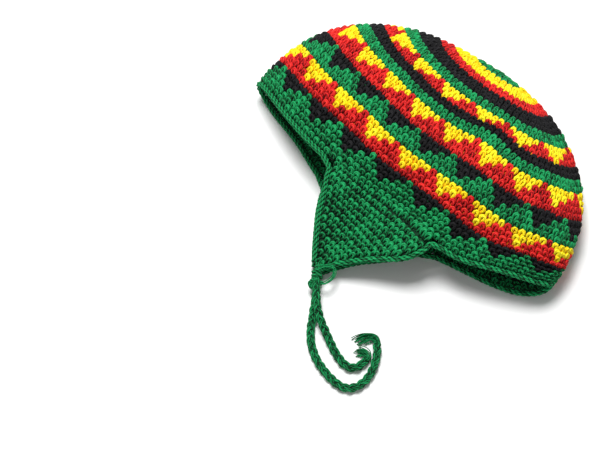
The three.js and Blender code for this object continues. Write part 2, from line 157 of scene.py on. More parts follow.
def plied_yarn(name, groove, body, crest, sheen=0.08):
    """Dyed yarn: painted shade in the grooves between plies and deep in the cloth, body colour, and
    painted highlight on the crests where the light catches fibres.
    """
    material = bpy.data.materials.new(name)
    material.use_nodes = True
    surface = material.node_tree.nodes["Principled BSDF"]
    ply = ply_wave(material)
    whole = add_node(material, "ShaderNodeTexCoord")
    fibre = add_node(material, "ShaderNodeTexNoise", {"Scale": 1 / (FIBRE_MM * MM), "Detail": 3.0},
                     {"Vector": whole.outputs["Object"]})
    tint = add_node(material, "ShaderNodeAttribute", {"attribute_name": "tint"})
    mottle = add_node(material, "ShaderNodeMath",
                      {"operation": "MULTIPLY_ADD", 1: FIBRE_SHARE, 2: SHADE_SHIFT},
                      {0: fibre.outputs["Fac"]})
    lift = add_node(material, "ShaderNodeMath", {"operation": "MULTIPLY_ADD", 1: TINT_SHARE},
                    {0: tint.outputs["Fac"], 2: mottle.outputs[0]})
    shade = add_node(material, "ShaderNodeMath",
                     {"operation": "MULTIPLY_ADD", 1: PLY_SHARE, "use_clamp": True},
                     {0: ply, 2: lift.outputs[0]})
    ramp = add_node(material, "ShaderNodeValToRGB", links={"Fac": shade.outputs[0]})
    colours = ramp.color_ramp.elements
    colours[0].position, colours[0].color = GROOVE_SHADE_AT, linear(groove)
    colours[1].position, colours[1].color = CREST_HIGHLIGHT_AT, linear(crest)
    colours.new(BODY_AT).color = linear(body)
    height = add_node(material, "ShaderNodeMath", {"operation": "MULTIPLY_ADD", 1: FIBRE_RELIEF},
                      {0: fibre.outputs["Fac"], 2: ply})
    relief = add_node(material, "ShaderNodeBump", {"Strength": 0.9, "Distance": PLY_DEPTH},
                      {"Height": height.outputs[0]})
    material.node_tree.links.new(ramp.outputs["Color"], surface.inputs["Base Color"])
    material.node_tree.links.new(relief.outputs["Normal"], surface.inputs["Normal"])
    surface.inputs["Roughness"].default_value = 0.8
    surface.inputs["IOR"].default_value = 1.54
    surface.inputs["Specular IOR Level"].default_value = 0.25
    surface.inputs["Sheen Weight"].default_value = sheen
    surface.inputs["Sheen Tint"].default_value = linear(crest)
    surface.inputs["Sheen Roughness"].default_value = 0.5
    return material


# %% The four yarns
# each yarn: painted shade for its grooves and deep places, its body colour, and painted highlight for
# its crests
YARNS = {
    "G": plied_yarn("green_yarn", "#012413", "#047a40", "#17a660"),
    "Y": plied_yarn("yellow_yarn", "#f0ac00", "#ffe800", "#fff42c"),
    "R": plied_yarn("red_yarn", "#58060a", "#c90d13", "#ec2f28"),
    "K": plied_yarn("black_yarn", "#030304", "#0a0a0c", "#18171b", sheen=0.02),
}
print("yarns:", [yarn.name for yarn in YARNS.values()])

# %% [markdown]
# ## Strands
# Every piece of this hat is yarn, so one helper sweeps a round strand along a line, and
# another joins many strands into one mesh. Blender's curves with a bevel could do it too, but
# thousands of separate objects would be slow, and joined arrays of points and faces are made
# in a moment.

# %% Lines and their directions
def unit(vectors):
    """The vectors at length one."""
    return vectors / np.maximum(np.linalg.norm(vectors, axis=-1, keepdims=True), 1e-9)


def square_to(vectors, axis):
    """The part of each vector that is square to its axis, at length one."""
    return unit(vectors - axis * np.sum(vectors * axis, axis=-1, keepdims=True))


def run(line):
    """The length along a line up to each of its points."""
    return np.concatenate([[0], np.cumsum(np.linalg.norm(np.diff(line, axis=0), axis=1))])


def evenly(line, step):
    """The line again, with its points about a step apart."""
    along = run(line)
    places = np.linspace(0, along[-1], max(2, round(along[-1] / step)) + 1)
    return np.stack([np.interp(places, along, line[:, axis]) for axis in range(3)], axis=1)


def smooth_route(points, step):
    """Points a step apart on the centripetal Catmull-Rom curve through the given ones."""
    places = np.array(points, float)
    places = np.vstack([2 * places[0] - places[1], places, 2 * places[-1] - places[-2]])
    t = np.linspace(0, 1, 40, endpoint=False)[:, None]
    parts = []
    for before, start, end, after in zip(places, places[1:], places[2:], places[3:]):
        pairs = ((before, start), (start, end), (end, after))
        first, span, last = [math.sqrt(np.linalg.norm(b - a)) for a, b in pairs]
        leave = ((start - before) / first - (end - before) / (first + span)) * span + end - start
        arrive = ((after - end) / last - (after - start) / (span + last)) * span + end - start
        bend = 3 * (end - start) - 2 * leave - arrive
        parts.append(start + leave * t + bend * t ** 2 + (2 * (start - end) + leave + arrive) * t ** 3)
    return evenly(np.vstack(parts + [places[-2][None]]), step)


def frames_along(line):
    """Forward, side and up directions along a line, turning no more than the line does."""
    forward = unit(np.gradient(line, axis=0))
    side = np.empty_like(line)
    first = np.cross((0.0, 0.0, 1.0), forward[0])
    side[0] = unit(first if np.linalg.norm(first) > 0.1 else np.array([1.0, 0.0, 0.0]))
    for i in range(1, len(line)):
        side[i] = unit(side[i - 1] - forward[i] * np.dot(side[i - 1], forward[i]))
    return forward, side, np.cross(forward, side)


print("a 10 mm line in steps of 2 mm:", len(evenly(np.array([[0, 0, 0], [10, 0, 0]]), 2)), "points")

# %% One strand
def strand(line, radius, sides=6):
    """A closed round strand: its points, four-cornered faces, and each corner's place on it."""
    line = np.asarray(line, float)
    count = len(line)
    radius = np.broadcast_to(radius, count)
    _, side, up = frames_along(line)
    turn = 2 * np.pi * np.arange(sides) / sides
    ring = np.cos(turn)[None, :, None] * side[:, None] + np.sin(turn)[None, :, None] * up[:, None]
    points = (line[:, None] + radius[:, None, None] * ring).reshape(-1, 3)
    i, j = np.meshgrid(np.arange(count - 1), np.arange(sides), indexing="ij")
    near, near_beside = i * sides + j, i * sides + (j + 1) % sides
    walls = np.stack([near, near_beside, near_beside + sides, near + sides], -1)
    length = run(line) / MM
    round_it = np.stack([j, j + 1, j + 1, j], -1) / sides
    along_it = np.stack([length[i], length[i], length[i + 1], length[i + 1]], -1)
    cap = np.array([[0, k, k + 1, k + 2] for k in range(1, sides - 2, 2)])
    faces = np.vstack([walls.reshape(-1, 4), cap[:, ::-1], cap + (count - 1) * sides])
    places = np.stack([round_it, along_it], -1).reshape(-1, 4, 2)
    ends = np.zeros((2 * len(cap), 4, 2))
    ends[len(cap):, :, 1] = length[-1]
    return points, faces, np.concatenate([places, ends])


print("a straight strand of one step:", len(strand([[0, 0, 0], [MM, 0, 0]], MM)[1]), "faces")

# %% Strands twisted into a bundle, and strands joined into one set
DEEP_SHADE = 1.5            # how much painted shade lowers the tint, from the surface of a bundle to its core


def shaded(points, core, outer, tint):
    """Tints of a strand's points, with painted shade that deepens towards the core of the bundle it
    belongs to.
    """
    apart = np.linalg.norm(points.reshape(len(core), -1, 3) - core[:, None], axis=-1).ravel()
    return tint - DEEP_SHADE * np.clip(2 * (1 - apart / outer), 0, 1)


def twisted(core, turns, spread, radius, tints):
    """One yarn for each tint, twisted round a core; turns says how far at each point of it."""
    _, across, above = frames_along(core)
    parts = []
    for yarn, tint in enumerate(tints):
        roll = 2 * np.pi * (turns + yarn / len(tints))
        offset = np.cos(roll)[:, None] * across + np.sin(roll)[:, None] * above
        made = strand(core + spread * MM * offset, radius * MM)
        # each yarn gets painted shade where it lies near the core
        parts.append((*made, shaded(made[0], core, (spread + radius) * MM, tint)))
    return parts


def joined(parts):
    """Several strands as one set of points, faces, places on the strand and tints."""
    points, faces, places, tints, first = [], [], [], [], 0
    for part in parts:
        points.append(part[0])
        faces.append(part[1] + first)
        places.append(part[2])
        tints.append(np.broadcast_to(part[3], len(part[0])))
        first += len(part[0])
    return np.vstack(points), np.vstack(faces), np.concatenate(places), np.concatenate(tints)


# %% A set of strands as a piece of the hat
FLOOR_CLEARANCE = 0.15 * MM


def yarn_piece(name, parts, materials, face_materials=None):
    """A named piece of the hat from its points, faces, places on the strand and tints."""
    points, faces, places, tints = parts
    points = points.copy()
    points[:, 2] = np.maximum(points[:, 2], FLOOR_CLEARANCE)
    mesh = bpy.data.meshes.new(name)
    mesh.vertices.add(len(points))
    mesh.vertices.foreach_set("co", points.astype(np.float32).ravel())
    mesh.loops.add(faces.size)
    mesh.loops.foreach_set("vertex_index", faces.astype(np.int32).ravel())
    mesh.polygons.add(len(faces))
    mesh.polygons.foreach_set("loop_start", np.arange(0, faces.size, 4, dtype=np.int32))
    mesh.polygons.foreach_set("use_smooth", np.ones(len(faces), bool))
    mesh.update(calc_edges=True)
    layer = mesh.uv_layers.new(name="strand")
    layer.uv.foreach_set("vector", places.astype(np.float32).ravel())
    tint = mesh.attributes.new("tint", "FLOAT", "POINT")
    tint.data.foreach_set("value", tints.astype(np.float32))
    for material in materials:
        mesh.materials.append(material)
    if face_materials is not None:
        mesh.polygons.foreach_set("material_index", face_materials.astype(np.int32))
    piece = bpy.data.objects.new(name, mesh)
    bpy.context.scene.collection.objects.link(piece)
    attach(piece, "root")
    print(f"{name}: {2 * len(faces)} triangles")
    return piece


# %% [markdown]
# ## Ties
# Each ear flap ends in a plaited tie. It is three bundles of yarn, laid over each other in turn,
# about 6 mm wide, and it ends in a short brush of loose yarn. The ties are limp, so they lie on
# the surface: their routes are the ones that the solids follow. A plait could be a bump on a
# tube, but its outline shows against the pale floor, so the three bundles are modelled.

# %% The routes of the ties
HAT_MOVE = np.array([-0.0452118, -15.9542732, 0.0])    # puts the hat in the middle of the frame
TIE_ROUTES = {
    "upper": [
        [1.2, -88, 9.4], [5.4, -92.9, 9.4], [9.2, -97.3, 9.4], [13.2, -101.6, 9.3],
        [17.4, -105.5, 8.8], [22.1, -108.7, 7.2], [27, -111.3, 5.5], [32.1, -113.8, 4.1],
        [37.2, -116.4, 3.3], [42.5, -119, 3.05], [47.9, -121.1, 3.05], [53.5, -122.4, 3.05],
        [59, -121.5, 3.05], [62.3, -117.2, 3.05], [62.9, -111.4, 3.05],
    ],
    "lower": [
        [3.2, -90.2, 3.05], [7.4, -95.6, 3.05], [10.8, -100.5, 3.05], [13.8, -105.6, 3.05],
        [17, -110.6, 3.05], [20.1, -115.7, 3.05], [23.6, -120.4, 3.05], [27.7, -124.7, 3.05],
        [32.4, -128.3, 3.05], [37.5, -131.2, 3.05], [43, -133.4, 3.05], [48.7, -134.9, 3.05],
        [54.6, -135.9, 3.05], [60.5, -136.1, 3.05], [66.1, -134.4, 3.05], [70, -130.1, 3.05],
        [71.7, -124.5, 3.05], [71.7, -118.6, 3.05], [70.4, -112.8, 3.05], [68.2, -107.3, 3.05],
        [65.4, -102.2, 3.05], [61.6, -97.6, 3.05],
    ],
}
FRAY_ROUTES = {
    "upper": [
        [62.9, -111.4], [62.9, -109.7], [61.6, -107.9], [59.3, -107.1], [56.6, -107.8],
        [54.2, -109.5], [52.5, -111.9],
    ],
    "lower": [
        [61.6, -97.6], [60.5, -96.3], [58.4, -95.3], [56, -95.7], [53.8, -97.1], [52, -99],
        [50.7, -101.3], [49.9, -103.5], [49.3, -106.2],
    ],
}
PLAIT_SINK = 0.5            # a plait is flatter than a round cord, so it lies this much lower
TIE_STEP = 0.9


def in_frame(places):
    """Places given in the hat's own millimetres, in the frame's metres."""
    return (np.asarray(places, float) + HAT_MOVE) * MM


print("points on the routes of the ties:", {which: len(route) for which, route in TIE_ROUTES.items()})

# %% A plait of three bundles
random = np.random.default_rng(7)
BUNDLES = 3
YARNS_IN_BUNDLE = 4
PLAIT_TURN = 17.0           # length in which a bundle crosses over and comes back
PLAIT_SWING = 1.6
PLAIT_LIFT = 0.95
BUNDLE_RADIUS = 0.75        # from the bundle's middle to its yarns' middles
BUNDLE_TWIST = 15.0         # length of one turn of the bundle on itself
THIN_YARN = 0.7             # radius of a yarn in the bundle
PLAIT_SURFACE = 2.05        # radius at which a plait's yarns are in full light


def plait(line):
    """The yarns of a three-strand plait along a line."""
    _, side, up = frames_along(line)
    length = run(line) / MM
    parts = []
    for bundle in range(BUNDLES):
        turn = 2 * np.pi * (length / PLAIT_TURN + bundle / BUNDLES)
        swing = PLAIT_SWING * np.sin(turn)
        lift = PLAIT_LIFT * np.sin(2 * turn)
        middle = line + (swing[:, None] * side + lift[:, None] * up) * MM
        tints = random.random(YARNS_IN_BUNDLE)
        yarns = twisted(middle, length / BUNDLE_TWIST, BUNDLE_RADIUS, THIN_YARN, tints)
        parts += [(*yarn[:3], yarn[3] + shaded(yarn[0], line, PLAIT_SURFACE * MM, 0)) for yarn in yarns]
    return parts


# %% A frayed end
FRAY_STRANDS = 26
FRAY_START = 1.7            # half the width of the loose yarn where it leaves the tie
FRAY_SPREAD = 3.3           # and towards its end
FRAY_HEIGHT = 5.0
FRAY_DROP = 2.2             # how far a yarn comes down towards its end
FRAY_LOW = 0.6              # height under which no yarn starts or comes down
FRAY_RIPPLE = 0.4
FRAY_YARN = 0.33
FRAY_STEP = 0.5
SHORTEST_SHARE = 0.6        # length of the shortest yarns, as a share of the longest
STRAY_CHANCE = 0.5          # chance that a yarn leaves the others towards its end
STRAY_REACH = 3.2
FRAY_WAVE = 0.6


def frayed_end(route):
    """Loose yarns that curl off the end of a tie, low on the surface."""
    curl = smooth_route(in_frame([[*place, 0] for place in route]), FRAY_STEP * MM)
    _, side, _ = frames_along(curl)
    parts = []
    for number in range(FRAY_STRANDS):
        fan = random.uniform(-1, 1)
        last = int(len(curl) * random.uniform(SHORTEST_SHARE, 1.0))
        t = np.linspace(0, 1, last)
        height = random.uniform(FRAY_LOW, FRAY_HEIGHT)
        wave = random.uniform(-FRAY_WAVE, FRAY_WAVE) * np.sin(np.pi * t * random.uniform(1, 2.6))
        stray = random.uniform(-STRAY_REACH, STRAY_REACH) * t ** 2 * (random.random() < STRAY_CHANCE)
        wide = FRAY_START + (FRAY_SPREAD - FRAY_START) * np.sin(0.5 * np.pi * t)
        middle = curl[:last] + (fan * wide + wave + stray)[:, None] * side[:last] * MM
        low = height + (max(FRAY_LOW, height - FRAY_DROP) - height) * t
        low = low + FRAY_RIPPLE * np.sin(4 * t + number)
        middle[:, 2] = np.maximum(low * MM, FRAY_YARN * MM + FLOOR_CLEARANCE)
        parts.append((*strand(middle, FRAY_YARN * MM, sides=4), random.random()))
    return parts


# %% Both ties
for which, route in TIE_ROUTES.items():
    line = smooth_route(in_frame(route), TIE_STEP * MM)
    line[:, 2] -= PLAIT_SINK * MM
    tie = yarn_piece(f"plaited_tie_{which}", joined(plait(line)), [YARNS["G"]])
    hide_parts(f"tie_{which}")
    loose_yarn = joined(frayed_end(FRAY_ROUTES[which]))
    fray = yarn_piece(f"frayed_end_{which}", loose_yarn, [YARNS["G"]])
    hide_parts(f"tie_tassel_{which}")

# %% [markdown]
# ## Form of the cloth
# The crown grows from its middle in 37 rounds. How a round lies, flat below and puffed up above,
# is the same table that the solids are made from. A cloth simulation could drop the hat on the
# table, but it would move the bands away from where they are on the real one. A crochet hook
# makes rounds and stitches, so the cloth's own coordinates are a round and an angle: 0 at the
# right fold, 90 in the middle of the upper half, 180 at the left fold.

# %% How each round lies
WALL = 3.2
BRIM_ROUND = 37
SECTION_COLUMNS = ("round", "half", "foldY", "tilt", "foldZ", "topY", "topZ", "underY", "underZ", "bow")
SECTIONS = [
    (0, 0, 116.5, 0, 17, 116.5, 17, 116.5, 17, 0.5),
    (3, 18.5, 114.5, 0, 18, 107, 25, 120, 8.5, 0.5),
    (6, 36.5, 111.5, 0, 19, 96, 33, 115.5, -1, 0.52),
    (10, 58, 105, -1, 20, 80.5, 41, 98, -2.5, 0.57),
    (13, 73, 97.5, -1.5, 20, 68, 46, 84, -2.5, 0.61),
    (16, 86, 89, -2, 20, 56.5, 49, 70, -2.5, 0.66),
    (20, 101.5, 75, -2.5, 19.5, 41.5, 51, 52, -2.5, 0.7),
    (24, 113.5, 57.5, -3, 19, 25, 51, 34, -2.5, 0.75),
    (28, 121, 38, -3, 18, 8.5, 49, 16, -2.5, 0.78),
    (32, 124.5, 21, -1, 16.5, -6.5, 44, -3, -2.5, 0.8),
    (38, 125.5, 4.5, 4.5, 13.5, -26, 32, -31.5, -2.5, 0.8),
]
TOP_SQUARENESS = 2.2
UNDER_SQUARENESS = 3.0
BOW_SLANT = 0.38
DENTS = [
    {"half": 1, "round": 18, "rounds": 3.2, "x": 35, "width": 15, "push": 6, "drop": 2.5},
    {"half": 1, "round": 38, "rounds": 6, "x": 66, "width": 28, "push": -7, "drop": 4},
    {"half": -1, "round": 38, "rounds": 12, "x": -80, "width": 30, "push": 6, "drop": 0},
    {"half": -1, "round": 38, "rounds": 12, "x": 62, "width": 30, "push": 2.5, "drop": 0},
]


# %% Points and directions of the cloth
CLOSEST_ROUND = 0.4         # nearer to the crown's middle than this the cloth has no direction


def column_at(table, columns, key, column, at):
    """A column of a table of sections, as a smooth curve through its rows."""
    rows = np.array(table, float)
    x, y = rows[:, columns.index(key)], rows[:, columns.index(column)]
    slope = np.empty_like(y)
    slope[1:-1] = (y[2:] - y[:-2]) / (x[2:] - x[:-2])
    slope[0] = (y[1] - y[0]) / (x[1] - x[0])
    slope[-1] = (y[-1] - y[-2]) / (x[-1] - x[-2])
    at = np.asarray(at, float)
    i = np.clip(np.searchsorted(x, at, side="right") - 1, 0, len(x) - 2)
    span = x[i + 1] - x[i]
    t = (at - x[i]) / span
    return ((2 * t ** 3 - 3 * t ** 2 + 1) * y[i] + (t ** 3 - 2 * t ** 2 + t) * span * slope[i]
            + (-2 * t ** 3 + 3 * t ** 2) * y[i + 1] + (t ** 3 - t ** 2) * span * slope[i + 1])


def cloth_point(rounds, degrees):
    """The middle of the cloth at a round and an angle, in the hat's own millimetres."""
    rounds, degrees = np.broadcast_arrays(np.asarray(rounds, float), np.asarray(degrees, float))
    at = {
        name: column_at(SECTIONS, SECTION_COLUMNS, "round", name, rounds)
        for name in SECTION_COLUMNS[1:]
    }
    cosine, sine = np.cos(np.radians(degrees)), np.sin(np.radians(degrees))
    upper = sine >= 0
    power = 2 / np.where(upper, TOP_SQUARENESS, UNDER_SQUARENESS)
    across = np.sign(cosine) * np.abs(cosine) ** power
    lift = np.abs(sine) ** power
    bow = np.maximum(0, 1 - across ** 2) ** (at["bow"] * (1 - BOW_SLANT * across))
    x = at["half"] * across
    far_y = np.where(upper, at["topY"], at["underY"])
    y = at["foldY"] + at["tilt"] * across + (far_y - at["foldY"]) * bow
    z = at["foldZ"] + (np.where(upper, at["topZ"], at["underZ"]) - at["foldZ"]) * lift
    for dent in DENTS:
        down, aside = (rounds - dent["round"]) / dent["rounds"], (x - dent["x"]) / dent["width"]
        near = np.exp(-down ** 2 - aside ** 2) * np.clip(3 * dent["half"] * sine, 0, 1)
        y = y + dent["push"] * near
        z = z - dent["drop"] * near
    return np.stack([x, y, np.maximum(z, WALL / 2)], -1)


def cloth_frame(rounds, degrees):
    """Directions of the cloth: towards the brim, along the round, and out of the cloth."""
    step = 0.2
    rounds, degrees = np.asarray(rounds, float), np.asarray(degrees, float)
    before = np.maximum(rounds - step, CLOSEST_ROUND)
    down = unit(cloth_point(rounds + step, degrees) - cloth_point(before, degrees))
    along = unit(cloth_point(rounds, degrees + step) - cloth_point(rounds, degrees - step))
    return down, along, unit(np.cross(along, down))


print("height of the puffed upper half:", round(float(cloth_point(20, 90)[2] + WALL / 2), 1), "mm")

# %% [markdown]
# ## The chart
# The bands are a common ornament of stacked triangles, six stitches to a repeat, charted as a knitter
# would. A letter is a stitch: G green, Y yellow, R red, K black. The crown starts with six stitches and
# gains six in each round up to 78, and again up to 102 later.
# Each round of crochet leans a little over the last one, about a third of a stitch. The bands
# could be painted on a smooth cloth, but then their edges would cut through the stitches.

# %% Colours and numbers of stitches
TRIANGLES = ["YYYYYR", "RYYYRR", "RRYRRR"]
STEPS = ["RRRRRR", "KKKKKG", "GKKKGG", "GGKGGG", "GGGGGG"]
CHART = (["G"] * 3 + ["Y"] * 3 + ["R"] * 2 + ["K"] * 3 + ["G"] * 2 + TRIANGLES + ["K"] * 2 + ["G"] * 2
         + TRIANGLES + STEPS + TRIANGLES + STEPS + ["G"])
REPEAT = 6
GAIN = 6                    # stitches that a growing round gains
CROWN_STITCHES = 78         # as many as a round has until the crown is deep enough,
CROWN_ROUND = 16            # which is here,
BRIM_STITCHES = 102         # and as many as go round the head


def stitches_in(number):
    """How many stitches a round has."""
    if number <= CROWN_ROUND:
        return min(GAIN * number, CROWN_STITCHES)
    return min(CROWN_STITCHES + GAIN * (number - CROWN_ROUND), BRIM_STITCHES)


def colours_of(number, columns):
    """The letters of a round's stitches, from the columns of the chart that they stand in."""
    row = CHART[number - 1]
    return np.array([row[column % len(row)] for column in columns])


def carried_in(number):
    """For each colour of a round, the one that is carried along inside its stitches."""
    row = CHART[number - 1]
    return {colour: next((other for other in row if other != colour), colour) for colour in row}


print(len(CHART), "rounds,", sum(stitches_in(number) for number in range(1, BRIM_ROUND + 1)), "stitches")

# %% Where the stitches of a round are
TIP_STITCH = 2              # the chart's column that holds a triangle's tip
TIP_AT = {14: 4.5, 21: 6.1, 29: 2.4}     # a band's first round: its tip, in stitches from the right fold
LEAN = 0.37                 # stitches by which each round is shifted over the last one
TIGHTER_RIGHT = 1.25        # stitches crowd a little towards the right fold of the upper half
WAVES = ((50, 14, 1.0), (110, 15, -0.85))   # where rounds bulge: angle, width, rounds moved
WAVE_BY_ROUND = ((0, 0), (10, 0.3), (20, 0.55), (31, 1.0), (37, 0))
ANGLES = np.linspace(0, 360, 721)


def waved(rounds, angles):
    """The rounds, moved towards the brim or the crown where the cloth has stretched."""
    bulges = [size * np.exp(-((angles - middle) / spread) ** 2) for middle, spread, size in WAVES]
    return rounds + np.interp(rounds, *zip(*WAVE_BY_ROUND)) * sum(bulges)


def stitch_places(number):
    """Round coordinate, angle, width and chart column of each stitch in a round."""
    count = stitches_in(number)
    along = run(cloth_point(number - 0.5, ANGLES))
    passed = along / along[-1] * count
    half = passed[len(ANGLES) // 2]
    crowded = np.where(passed < half, np.sin(np.pi * passed / half), 0)
    passed = passed + TIGHTER_RIGHT * count / BRIM_STITCHES * crowded
    start = max([first for first in TIP_AT if first <= number], default=min(TIP_AT))
    tip = TIP_AT[start] + LEAN * (number - start - 2)
    stitch = np.arange(count)
    at = (tip + stitch) % count
    angle = np.interp(at, passed, ANGLES)
    width = np.interp(at + 0.5, passed, along) - np.interp(at - 0.5, passed, along)
    width = np.where((at > 0.5) & (at < count - 0.5), width, along[-1] / count)
    return waved(number - 0.5, angle), angle, width, (TIP_STITCH - stitch) % REPEAT


print("round 30:", [round(float(value[0]), 2) for value in stitch_places(30)])

# %% [markdown]
# ## Stitches
# A single crochet stitch shows as a plump horseshoe of yarn: its bow is towards the crown, its
# legs run down and in, under the bows of the next round, and a small dark hole stays between
# them. On the inside a flatter loop shows. The holes and the scalloped outline need real loops,
# which a bump in a material can't give. So the stitch is made once and copied to every place in
# the chart, stretched to the round's own stitch width, with a little chance in its pose.

# %% The yarn's path through a stitch
STITCH_WIDTH = 5.1
STITCH_HEIGHT = 4.25
YARN_RADIUS = 1.25
LOOP = [
    (-0.08, -0.86, -1.3), (-0.21, -0.52, -0.65), (-0.29, -0.14, 0.2), (-0.225, 0.17, 0.8),
    (0.0, 0.28, 0.95),
]
LOOP_RADIUS = [0.7, 0.92, 1.03, 1.1, 1.12]      # shares of the yarn's radius


def horseshoe(step, thick=1.0):
    """The loop of a stitch, in millimetres: right, towards the crown, and out of the cloth."""
    left = np.array(LOOP) * [STITCH_WIDTH, STITCH_HEIGHT, 1]
    both = np.vstack([left, left[-2::-1] * [-1, 1, 1]])
    thickness = np.array(LOOP_RADIUS + LOOP_RADIUS[-2::-1]) * YARN_RADIUS * thick
    line = smooth_route(both, step)
    share = np.linspace(0, 1, len(line))
    return line, np.interp(share, np.linspace(0, 1, len(thickness)), thickness)


def template(line, radius, dark, lit):
    """A stitch's strand: points, faces, places on it, and how deep in the dark each point is."""
    points, faces, places = strand(line * MM, radius * MM)
    deep = np.clip((lit - points[:, 2] / MM) / (lit - dark), 0, 1)
    return points, faces, places, DEEP_SHADE * deep


# %% The front and the back of a stitch
FRONT_STEP = 1.35           # length of the pieces that the loop is swept in
DARK_HEIGHT, LIT_HEIGHT = -0.9, 0.9     # heights over the cloth's middle from no light to full light
BACK_STEP = 2.3
BACK_THICKNESS = 0.85
BACK_DEPTH = -0.8           # the back of a stitch lies this far towards the inside
BACK_RELIEF = 0.5           # and is flatter than its front
BACK_DARK, BACK_LIT = -0.4, -2.0

FRONT_LOOP = template(*horseshoe(FRONT_STEP), DARK_HEIGHT, LIT_HEIGHT)
back_line, back_radius = horseshoe(BACK_STEP, BACK_THICKNESS)
back_line[:, 2] = BACK_DEPTH - BACK_RELIEF * np.maximum(back_line[:, 2], 0)
BACK_LOOP = template(back_line, back_radius, BACK_DARK, BACK_LIT)
print("a stitch:", 2 * (len(FRONT_LOOP[1]) + len(BACK_LOOP[1])), "triangles")

# %% Copies of a stitch
POSE_CHANCE = math.radians(7)
SIZE_CHANCE = 0.07
PLACE_CHANCE = 0.18
STITCH_LEAN = 0.12          # how far a stitch's own bow leans to the right
PLY_SHIFT = 3               # millimetres by which the plies of two loops may differ in their start


def copies(pattern, centres, right, up, out, widths, heights, tints):
    """The pattern at many places, each with its own directions, width, height and tint."""
    points, faces, places, deep = pattern
    count = len(centres)
    x = points[None, :, 0, None] * (widths / STITCH_WIDTH)[:, None, None] * right[:, None]
    y = points[None, :, 1, None] * (heights / STITCH_HEIGHT)[:, None, None] * up[:, None]
    z = points[None, :, 2, None] * out[:, None]
    everywhere = (centres[:, None] + x + y + z).reshape(-1, 3)
    numbers = faces[None] + (np.arange(count) * len(points))[:, None, None]
    shifted = places[None] + np.stack([np.zeros(count), PLY_SHIFT * tints], 1)[:, None, None]
    # each copy's random tint, less the painted shade of its deep parts
    tints = (tints[:, None] - deep).ravel()
    return everywhere, numbers.reshape(-1, 4), shifted.reshape(-1, 4, 2), tints


def at_places(pattern, middles, right, up, out, widths, heights, tints):
    """Copies of a stitch with a little chance in how each one sits."""
    count = len(middles)
    angle = random.normal(0, POSE_CHANCE, count)[:, None] - STITCH_LEAN
    turned_right = right * np.cos(angle) + up * np.sin(angle)
    turned_up = up * np.cos(angle) - right * np.sin(angle)
    middles = in_frame(middles + random.normal(0, PLACE_CHANCE, (count, 3)))
    sizes = 1 + random.normal(0, SIZE_CHANCE, (2, count))
    widths, heights = widths * sizes[0], heights * sizes[1]
    return copies(pattern, middles, turned_right, turned_up, out, widths, heights, tints)


# %% All stitches of the crown, sorted by colour
CENTRE_ROUNDS = 20          # a piece per colour for these rounds, and another for the rest
CARRIED_SHOWS = 0.3         # share of the inside loops that show the carried colour
COLOUR_NAMES = {"G": "green", "Y": "yellow", "R": "red", "K": "black"}
crown_stitches = {}


def add_stitches(pattern, shown, half, sits):
    """A round's loops, put with the others of the colour that each one shows."""
    for colour in np.unique(shown):
        chosen = shown == colour
        part = at_places(pattern, *(values[chosen] for values in sits))
        crown_stitches.setdefault((half, str(colour)), []).append(part)


for number in range(1, BRIM_ROUND + 1):
    rounds, angles, widths, columns = stitch_places(number)
    down, along, out = cloth_frame(rounds, angles)
    above = cloth_point(np.maximum(rounds - 0.5, 0), angles)
    heights = np.linalg.norm(above - cloth_point(rounds + 0.5, angles), axis=1)
    colours = colours_of(number, columns)
    tints = random.random(len(colours))
    sits = (cloth_point(rounds, angles), -along, -square_to(down, along), out, widths, heights, tints)
    half = "centre" if number <= CENTRE_ROUNDS else "border"
    add_stitches(FRONT_LOOP, colours, half, sits)
    carried = carried_in(number)
    shows = random.random(len(colours)) < CARRIED_SHOWS
    backs = np.array([carried[colour] if show else colour for colour, show in zip(colours, shows)])
    add_stitches(BACK_LOOP, backs, half, sits)

for (half, colour), parts in crown_stitches.items():
    name = f"stitches_{half}_{COLOUR_NAMES[colour]}"
    piece = yarn_piece(name, joined(parts), [YARNS[colour]])
    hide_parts("crown")

# %% [markdown]
# ## Ground
# Behind the loops lies the thickness of the cloth: the feet of the stitches, and the yarn of the
# colour that is not in use, which is carried along inside them and peeps through as small dots.
# All those hidden yarns could be laid one by one. A thin sheet just inside the loops, in the colours
# that peep through and darkened with painted shade, looks the same from outside and lets no light
# through either.

# %% The form of a thin sheet
GROUND_OUTER = -0.45        # heights of the sheet's two skins over the cloth's middle
GROUND_INNER = -1.15
# the sheet's tint is painted shade, for the shade behind the loops
GROUND_PAINTED_SHADE = -0.5


def sheet_faces(rows, columns, closed):
    """Faces between the points of a grid of rows and columns, closed if it goes all round."""
    i, j = np.meshgrid(np.arange(rows - 1), np.arange(columns if closed else columns - 1), indexing="ij")
    near, near_beside = i * columns + j, i * columns + (j + 1) % columns
    return np.stack([near, near + columns, near_beside + columns, near_beside], -1).reshape(-1, 4)


def rim_faces(rim, size):
    """Faces that close the gap between two skins along a rim; their numbers differ by size."""
    rim_next = np.roll(rim, -1)
    return np.stack([rim_next, rim, rim + size, rim_next + size], 1)


def sheet_parts(middle, out, faces):
    """The two skins of a thin sheet in the frame, with its faces and its painted shade, in the form of a
    strand.
    """
    skins = [in_frame(middle + depth * out) for depth in (GROUND_OUTER, GROUND_INNER)]
    return np.vstack(skins), faces, np.zeros((len(faces), 4, 2)), np.full(2 * len(middle), GROUND_PAINTED_SHADE)


print("the sheet is", round(GROUND_OUTER - GROUND_INNER, 2), "mm thick")

# %% Colours that peep through
PEEPS_THROUGH = {"Y": 1.0, "R": 0.45, "G": 0.7, "K": 0.0}   # share of a colour's stitches that show it
ORDER = list(YARNS)
GROUND_COLUMNS = 204
GROUND_ROUNDS = np.concatenate([[0.35], np.arange(1, BRIM_ROUND + 1)])
ground_angles = np.linspace(0, 360, GROUND_COLUMNS, endpoint=False)


